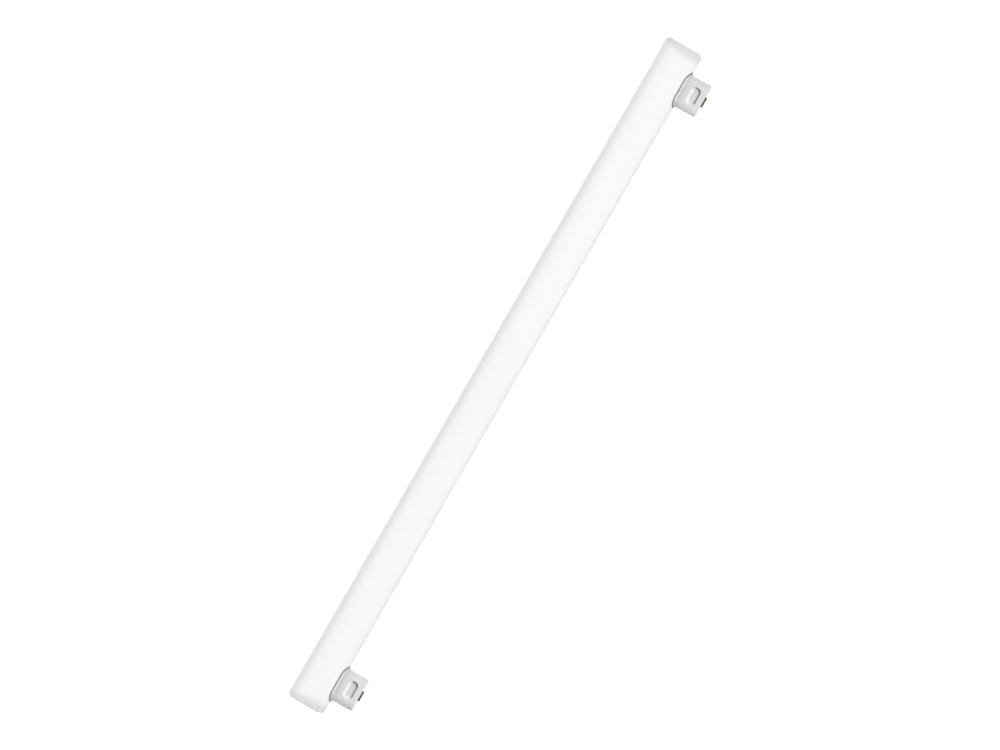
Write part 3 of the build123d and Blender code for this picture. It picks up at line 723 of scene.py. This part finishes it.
def plug(side, outer_x):
    """A whole plug, at the left end for side -1 and the right end for side 1."""
    seat = side * tube_end
    whole = bmesh.new()
    outline = [
        (outer_x, 0.0),
        (outer_x, TUBE_RADIUS),
        (seat + side * SEAM_CHAMFER, TUBE_RADIUS),
        (seat, TUBE_RADIUS - SEAM_CHAMFER),
        (seat, 0.0),
    ]
    corners, _ = draw(whole, outline)
    round_corner(whole, corners[1], PLUG_ROUND, PLUG_ROUND_SEGMENTS)
    turn_round(whole)
    for level, up in zip(SLOT_LEVELS, (-1.0, 1.0)):
        half = crescent(seat + side * SUNK, seat - side * SPIGOT_LENGTH, level, up)
        carrier = bpy.data.meshes.new("crescent")
        half.to_mesh(carrier)
        half.free()
        whole.from_mesh(carrier)
        bpy.data.meshes.remove(carrier)
    measure("plug", whole)
    return whole


plug_left = plug(-1.0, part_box("end_cap_left")[0].x)
stand_in("plug_left", plug_left, opal, "end_cap_left")
plug_right = plug(1.0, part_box("end_cap_right")[1].x)
stand_in("plug_right", plug_right, opal, "end_cap_right")

# %% [markdown]
# ## Circuit boards
# A board is woven glass in resin under a thin coloured mask. The mask hides the weave almost, but
# not quite, and copper tracks stand up below it as low, soft-edged bands. The sawn edge shows the
# tan core. All three are masks on the board's own coordinates, so one function paints the white LED
# board and the green driver board.

# %% Paint the boards
CORE_TAN = (0.52, 0.44, 0.24)
BOARD_ROUGHNESS = 0.34
SAWN_ROUGHNESS = 0.4
MASK_THICKNESS = 0.06 * MM
WEAVE_SCALE = 2200.0
WEAVE_ROUGHNESS = 0.12
WEAVE_SHARE = 0.6
WEAVE_RELIEF = 0.15
STAIN_SCALE = 140.0
TRACK_EDGE = 0.15 * MM
TRACK_SHARE = 0.4
TRACK_RELIEF = 0.04 * MM


def board_finish(name, dark, light, node, tracks):
    """Solder mask over weave and two tracks along X, each between two distances from the middle."""
    finish = Finish(name)
    low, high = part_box(node)
    weave = (finish.noise(WEAVE_SCALE, detail=1.0) + finish.noise(STAIN_SCALE)) * 0.5
    from_middle = abs(finish.axis("Y"))
    past_inner_edge = from_middle.rise(tracks[0], tracks[0] + TRACK_EDGE)
    past_outer_edge = from_middle.rise(tracks[1] - TRACK_EDGE, tracks[1])
    track = past_inner_edge * (1.0 - past_outer_edge)
    height = finish.axis("Z")
    sawn = (height > low.z + MASK_THICKNESS) * (height < high.z - MASK_THICKNESS)
    mask = finish.blend(weave * WEAVE_SHARE + track * TRACK_SHARE, dark, light)
    finish.set(
        Base_Color=finish.blend(sawn, mask, CORE_TAN),
        Roughness=BOARD_ROUGHNESS + weave * WEAVE_ROUGHNESS + sawn * SAWN_ROUGHNESS,
        IOR=1.5,
    )
    finish.relief(track + weave * WEAVE_RELIEF, TRACK_RELIEF)
    print(name, len(finish.tree.nodes), "nodes")
    return finish


white_board = board_finish(
    "white_board",
    dark=(0.83, 0.83, 0.80),
    light=(0.91, 0.91, 0.89),
    node="led_board",
    tracks=(2.2 * MM, 8.5 * MM),
)
green_board = board_finish(
    "driver_board",
    dark=(0.055, 0.20, 0.08),
    light=(0.12, 0.34, 0.16),
    node="driver_board",
    tracks=(4.4 * MM, 6.2 * MM),
)

# %% [markdown]
# ## Light-emitting diodes
# Each diode is a white housing with a pocket of yellow silicone. The housing's two ends are tinned
# terminals. There are 49 of them in a row at one pitch, so instead of 49 masks we wrap the X
# coordinate round one pitch: the pattern then repeats by itself.

# %% Paint the housings
DIODE_PITCH = 9.6 * MM
TERMINAL_FROM = 1.35 * MM
TERMINAL_TOP = 28.95 * MM
TIN_DARK = (0.50, 0.50, 0.49)
TIN_LIGHT = (0.74, 0.74, 0.72)
HOUSING_TONES = ((0.86, 0.86, 0.83), (0.92, 0.92, 0.89))
HOUSING_ROUGHNESS = 0.30
SPECK_SCALE = 2500.0
SPECK_ROUGHNESS = 0.12
SPECK_DEPTH = 0.01 * MM

housing = Finish("led_housing")
along_row = housing.axis("X")
in_pitch = abs(along_row.reckon("WRAP", along_row, DIODE_PITCH / 2, -DIODE_PITCH / 2))
terminal = (in_pitch > TERMINAL_FROM) * (housing.axis("Z") < TERMINAL_TOP)
speck = housing.noise(SPECK_SCALE, detail=2.0)
moulded = housing.blend(speck, *HOUSING_TONES)
tinned = housing.blend(speck, TIN_DARK, TIN_LIGHT)
housing.set(
    Base_Color=housing.blend(terminal, moulded, tinned),
    Roughness=HOUSING_ROUGHNESS + speck * SPECK_ROUGHNESS,
    Metallic=terminal,
)
housing.relief(speck, SPECK_DEPTH)
print("diodes painted at a pitch of", round(DIODE_PITCH / MM, 2), "mm")

# %% Paint the silicone
SILICONE_TONES = ((0.82, 0.60, 0.10), (0.95, 0.80, 0.26))
SILICONE_ROUGHNESS = 0.22
POWDER_SCALE = 6000.0
POWDER_ROUGHNESS = 0.16
DIMPLE_SCALE = 900.0
DIMPLE_DEPTH = 0.02 * MM

phosphor = Finish("phosphor")
powder = phosphor.noise(POWDER_SCALE)
phosphor.set(
    Base_Color=phosphor.blend(powder, *SILICONE_TONES),
    Roughness=SILICONE_ROUGHNESS + powder * POWDER_ROUGHNESS,
    IOR=1.41,
)
phosphor.relief(phosphor.noise(DIMPLE_SCALE, detail=1.0), DIMPLE_DEPTH)
print("silicone:", len(phosphor.tree.nodes), "nodes")

# %% [markdown]
# ## Bodies with tinned pins
# Resistors, capacitors and chips share one plan: a moulded or dipped body with tinned wires. A CAD
# node has one material, so the wires are found by where they are: beyond a level, or beyond a
# distance from the body's middle. One function takes the body's two tones, its gloss and its grain,
# and the mask of its wires.

# %% Write the plan of a body with pins
BOARD_UNDERSIDE = 25.66 * MM
BODY_GRAIN_ROUGHNESS = 0.12
TIN_SCALE = 1800.0
TIN_ROUGHNESS = 0.30


def body_finish(name, dark, light, roughness, grain_scale, grain_depth, wires=None):
    """A body in two close tones, with tin where the mask that wires makes is 1."""
    finish = Finish(name)
    grain = finish.noise(grain_scale)
    tone = finish.blend(grain, dark, light)
    gloss = roughness + grain * BODY_GRAIN_ROUGHNESS
    if wires is None:
        finish.set(Base_Color=tone, Roughness=gloss)
    else:
        bare = wires(finish)
        tin = finish.blend(finish.noise(TIN_SCALE, detail=2.0), TIN_DARK, TIN_LIGHT)
        finish.set(
            Base_Color=finish.blend(bare, tone, tin),
            Roughness=gloss + bare * (TIN_ROUGHNESS - roughness),
            Metallic=bare,
        )
    finish.relief(grain, grain_depth)
    print(name, len(finish.tree.nodes), "nodes")
    return finish


def above_board(finish):
    """Wires that stand in the driver board's holes."""
    return finish.axis("Z") > BOARD_UNDERSIDE


def beside(letter, middle, reach):
    """Wires that lie further than reach from the body's middle, or stand in the board's holes."""
    return lambda finish: (abs(finish.axis(letter) - middle) > reach) | above_board(finish)


def middle_of(node, letter):
    """The middle of a CAD node's box along one axis."""
    low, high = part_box(node)
    return (getattr(low, letter) + getattr(high, letter)) / 2


print("the fuse's middle lies at x", round(middle_of("fusible_resistor", "x") / MM, 2), "mm")

# %% [markdown]
# ## Driver components
# Now each component gets its colours. Lacquers are glossy with a slow waviness from dipping,
# moulded boxes are matt with a fine grain, and chip resin is nearly black and fine as slate. Where
# a part has a second material, as the choke has its winding and the electrolytic can its rubber
# seal, it gets a longer recipe of its own below.

# %% Paint the lacquered components and the boxes
FUSE_HALF = 3.2 * MM

fuse_lacquer = body_finish(
    "resistor_body",
    dark=(0.25, 0.36, 0.44),
    light=(0.34, 0.46, 0.54),
    roughness=0.34,
    grain_scale=700.0,
    grain_depth=0.03 * MM,
    wires=beside("X", middle_of("fusible_resistor", "x"), FUSE_HALF),
)
varistor_lacquer = body_finish(
    "varistor_lacquer",
    dark=(0.06, 0.16, 0.47),
    light=(0.10, 0.24, 0.62),
    roughness=0.22,
    grain_scale=500.0,
    grain_depth=0.05 * MM,
    wires=above_board,
)
film_box = body_finish(
    "film_box",
    dark=(0.68, 0.48, 0.07),
    light=(0.80, 0.60, 0.13),
    roughness=0.42,
    grain_scale=2400.0,
    grain_depth=0.02 * MM,
    wires=above_board,
)

# %% Paint the chips and the sleeve
CHIP_HALF = 1.95 * MM
CHIP_RESISTOR_HALF = 0.62 * MM

chip_resin = body_finish(
    "chip_black",
    dark=(0.022, 0.022, 0.023),
    light=(0.042, 0.042, 0.042),
    roughness=0.50,
    grain_scale=4200.0,
    grain_depth=0.01 * MM,
    wires=beside("Y", 0.0, CHIP_HALF),
)
chip_glaze = body_finish(
    "chip_resistor",
    dark=(0.03, 0.03, 0.032),
    light=(0.07, 0.07, 0.07),
    roughness=0.24,
    grain_scale=3000.0,
    grain_depth=0.01 * MM,
    wires=beside("X", middle_of("chip_resistors", "x"), CHIP_RESISTOR_HALF),
)
sleeve_film = body_finish(
    "sleeve",
    dark=(0.03, 0.03, 0.034),
    light=(0.052, 0.052, 0.056),
    roughness=0.30,
    grain_scale=260.0,
    grain_depth=0.12 * MM,
)

# %% [markdown]
# ## Choke and electrolytic can
# The choke is a ferrite drum with enamelled copper wire wound between its flanges: the winding
# shows as fine rings, which a wave texture along Z gives. The can is bare aluminium, brushed round
# its axis when it was drawn, with a black rubber seal in the end where its two wires come out.

# %% Paint the choke
FLANGE_LEVELS = (21.80 * MM, 24.90 * MM)
FERRITE_TONES = ((0.07, 0.062, 0.06), (0.13, 0.12, 0.115))
FERRITE_ROUGHNESS = 0.62
SINTER_SCALE = 1500.0
SINTER_ROUGHNESS = 0.1
SINTER_RELIEF = 0.3
COPPER_TONES = ((0.26, 0.075, 0.02), (0.62, 0.25, 0.09))
COPPER_GLOSS = 0.32
RING_SCALE = 1400.0
RING_WOBBLE = 0.4
RING_DEPTH = 0.06 * MM
PIN_GLOSS = 0.3

ferrite = Finish("ferrite")
height = ferrite.axis("Z")
wound = (height > FLANGE_LEVELS[0]) * (height < FLANGE_LEVELS[1])
rings = Value(ferrite, ferrite.node(
    "TexWave",
    {"wave_type": "BANDS", "bands_direction": "Z"},
    {"Vector": ferrite.spot, "Scale": RING_SCALE, "Distortion": RING_WOBBLE},
).outputs["Fac"])
sinter = ferrite.noise(SINTER_SCALE, detail=4.0)
core = ferrite.blend(sinter, *FERRITE_TONES)
copper = ferrite.blend(rings, *COPPER_TONES)
pins = above_board(ferrite)
gloss = wound * COPPER_GLOSS + pins * PIN_GLOSS
ferrite.set(
    Base_Color=ferrite.blend(pins, ferrite.blend(wound, core, copper), TIN_LIGHT),
    Roughness=FERRITE_ROUGHNESS - gloss + sinter * SINTER_ROUGHNESS,
    Metallic=pins,
)
ferrite.relief(wound * rings + (1.0 - wound) * sinter * SINTER_RELIEF, RING_DEPTH)
print("choke:", len(ferrite.tree.nodes), "nodes")

# %% Paint the can
SEAL_FACE = -151.80 * MM
SEAL_SLAB = 0.06 * MM
RUBBER_BLACK = (0.02, 0.02, 0.02)
RUBBER_ROUGHNESS = 0.35
CAN_TONES = ((0.48, 0.49, 0.51), (0.66, 0.67, 0.69))
CAN_ROUGHNESS = 0.30
BRUSH_SCALES = (5000.0, 160.0, 160.0)
BRUSH_ROUGHNESS = 0.14
BRUSH_DEPTH = 0.01 * MM

can = Finish("capacitor_can")
rubber = abs(can.axis("X") - SEAL_FACE) < SEAL_SLAB
brushed = can.noise(BRUSH_SCALES)
can.set(
    Base_Color=can.blend(rubber, can.blend(brushed, *CAN_TONES), RUBBER_BLACK),
    Roughness=CAN_ROUGHNESS + brushed * BRUSH_ROUGHNESS + rubber * RUBBER_ROUGHNESS,
    Metallic=1.0 - rubber,
)
can.relief(brushed, BRUSH_DEPTH)
print("can:", len(can.tree.nodes), "nodes")

# %% [markdown]
# ## Leads
# The leads are stranded wire in soft insulation. The pull of the extruder leaves the skin glossy
# with a faint orange peel. Where a lead goes up through a board its insulation ends, and the tinned
# core shows. On the longer leads the two ends are at different heights, so the mask takes the
# height of each end at its own place along X.

# %% Paint the leads
LED_BOARD_UNDERSIDE = 27.66 * MM
HOLE_REACH = 1.0 * MM
MAINS_HOLE_X = -199.7 * MM
OUTPUT_HOLE_X = -137.4 * MM
LEAD_ROUGHNESS = 0.30
PEEL_SCALE = 900.0
PEEL_DEPTH = 0.02 * MM


def lead_finish(name, dark, light, driver_hole_x):
    """Insulation with tinned ends: above the LED board's underside and in one driver board hole."""

    def bare_ends(finish):
        at_driver = abs(finish.axis("X") - driver_hole_x) < HOLE_REACH
        above_leds = finish.axis("Z") > LED_BOARD_UNDERSIDE
        return above_leds | above_board(finish) * at_driver

    return body_finish(name, dark, light, LEAD_ROUGHNESS, PEEL_SCALE, PEEL_DEPTH, bare_ends)


brown = lead_finish("lead_brown", (0.18, 0.08, 0.04), (0.26, 0.12, 0.06), MAINS_HOLE_X)
blue = lead_finish("lead_blue", (0.05, 0.13, 0.39), (0.08, 0.19, 0.50), MAINS_HOLE_X)
red = lead_finish("lead_red", (0.42, 0.03, 0.025), (0.56, 0.05, 0.04), OUTPUT_HOLE_X)
black = lead_finish("lead_black", (0.022, 0.022, 0.022), (0.045, 0.045, 0.045), OUTPUT_HOLE_X)

# %% [markdown]
# ## Dressing the CAD nodes
# Most nodes keep their CAD shape: their roundings are cut into the solids already. They only change
# their finish, which is one assignment to the material slot of each node's object.

# %% Give each CAD node its finish
dress = {
    "lamp_cap_left": cap_plastic,
    "lamp_cap_right": cap_plastic,
    "contact_left": brass,
    "contact_right": brass,
    "led_board": white_board,
    "led_packages": housing,
    "led_phosphor": phosphor,
    "driver_board": green_board,
    "driver_sleeve": sleeve_film,
    "fusible_resistor": fuse_lacquer,
    "surge_varistor": varistor_lacquer,
    "film_capacitor": film_box,
    "bridge_rectifier": chip_resin,
    "filter_choke": ferrite,
    "smoothing_capacitor": can,
    "driver_chip": chip_resin,
    "chip_resistors": chip_glaze,
    "line_lead": brown,
    "neutral_lead": blue,
    "neutral_link": blue,
    "led_lead_plus": red,
    "led_lead_minus": black,
}
for name, finish in dress.items():
    for material_slot in nodes[name].material_slots:
        material_slot.material = finish.material
print(len(dress), "CAD nodes dressed of", len(nodes))

# %% [markdown]
# ## Floor
# A cut-out picture has no visible floor, but the lamp still stands on one, so that it has a shadow
# in the other views. White paper would throw much light up at the caps and hide their shading, so
# the paper is a mid grey, and a glow that only the camera, mirrors and glass see lifts it to white
# without putting more light on the lamp.

# %% Build the floor
FLOOR_SIZE = 8.0
FLOOR_DROP = 0.1 * MM
FLOOR_GLOW = (0.57, 0.57, 0.57)
NO_GLOW = (0.0, 0.0, 0.0)
PAPER_TONES = ((0.60, 0.60, 0.60), (0.62, 0.62, 0.62))
FIBRE_SCALE = 900.0
LOOKING_RAYS = ("Is Camera Ray", "Is Glossy Ray", "Is Transmission Ray")


def looked_at(sheet):
    """1 where the camera, a mirror or glass looks, and 0 where a surface only gathers light."""
    rays = sheet.node("LightPath").outputs
    camera_ray, mirror_ray, glass_ray = (Value(sheet, rays[name]) for name in LOOKING_RAYS)
    return camera_ray | mirror_ray | glass_ray


paper = Finish("floor_paper")
paper.set(
    Base_Color=paper.blend(paper.noise(FIBRE_SCALE), *PAPER_TONES),
    Roughness=0.9,
    Emission_Color=paper.blend(looked_at(paper), NO_GLOW, FLOOR_GLOW),
    Emission_Strength=1.0,
)
floor_mesh = bpy.data.meshes.new("floor")
paper_sheet = bmesh.new()
bmesh.ops.create_grid(paper_sheet, x_segments=1, y_segments=1, size=FLOOR_SIZE / 2)
bmesh.ops.translate(paper_sheet, verts=paper_sheet.verts, vec=(0.0, 0.0, -FLOOR_DROP))
paper_sheet.to_mesh(floor_mesh)
paper_sheet.free()
floor_mesh.materials.append(paper.material)
floor = bpy.data.objects.new("floor", floor_mesh)
bpy.context.scene.collection.objects.link(floor)
floor.visible_shadow = False
floor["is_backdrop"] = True
print("floor", FLOOR_SIZE, "m wide")

# %% [markdown]
# ## Light
# The world is white where the camera, a mirror or glass looks at it, and dimmer where it lights the
# lamp. In the photograph the brightest side of the tube is the one with the caps, so the key light
# and a second one stand low in front, below the floor's level: the floor throws no shadow, so their
# light passes it. One light from above shapes the tube's upper side, one behind keeps the back from
# going dull, and a weak one off each end keeps the plugs' end faces from turning grey. Those two
# stand a little to the rear, so that they hardly touch the rounded edges in front.

# %% Light the stage
AMBIENT = 0.38
WHITE = (1.0, 1.0, 1.0, 1.0)
LIGHT_DISTANCE = 12.0
LIGHT_SIZE = 3.4
LIGHTS = {
    "key": ((0.4, -1.0, -0.6), 505.0),
    "low": ((0.2, -1.0, -1.0), 240.0),
    "top": ((0.0, -0.4, 1.0), 605.0),
    "back": ((-0.25, 1.0, -0.05), 520.0),
    "right": ((1.0, 0.4, 0.1), 120.0),
    "left": ((-1.0, 0.2, 0.1), 75.0),
}

world = bpy.data.worlds.new("studio")
bpy.context.scene.world = world
world.use_nodes = True
studio = Sheet(world.node_tree)
studio.tree.nodes.clear()
brightness = AMBIENT + looked_at(studio) * (1.0 - AMBIENT)
sky = studio.node("Background", inputs={"Color": WHITE, "Strength": brightness})
studio.node("OutputWorld", inputs={"Surface": sky.outputs["Background"]})


def soft_box(name, direction, power):
    """A square soft light that faces the lamp from far away in the given direction."""
    data = bpy.data.lights.new(name, "AREA")
    data.size = LIGHT_SIZE
    data.energy = power
    light = bpy.data.objects.new(name, data)
    bpy.context.scene.collection.objects.link(light)
    outward = Vector(direction).normalized()
    light.location = AXIS + LIGHT_DISTANCE * outward
    light.rotation_euler = outward.to_track_quat("Z", "Y").to_euler()
    print(name, "at", tuple(round(v, 2) for v in light.location), power, "W")


for name, (direction, power) in LIGHTS.items():
    soft_box(name, direction, power)

# %% [markdown]
# The dressed lamp must fill the same box as its solids, so its box is measured here.

# %% Measure the dressed lamp's box and finish
bpy.context.scene.view_settings.view_transform = "Standard"
low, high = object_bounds()
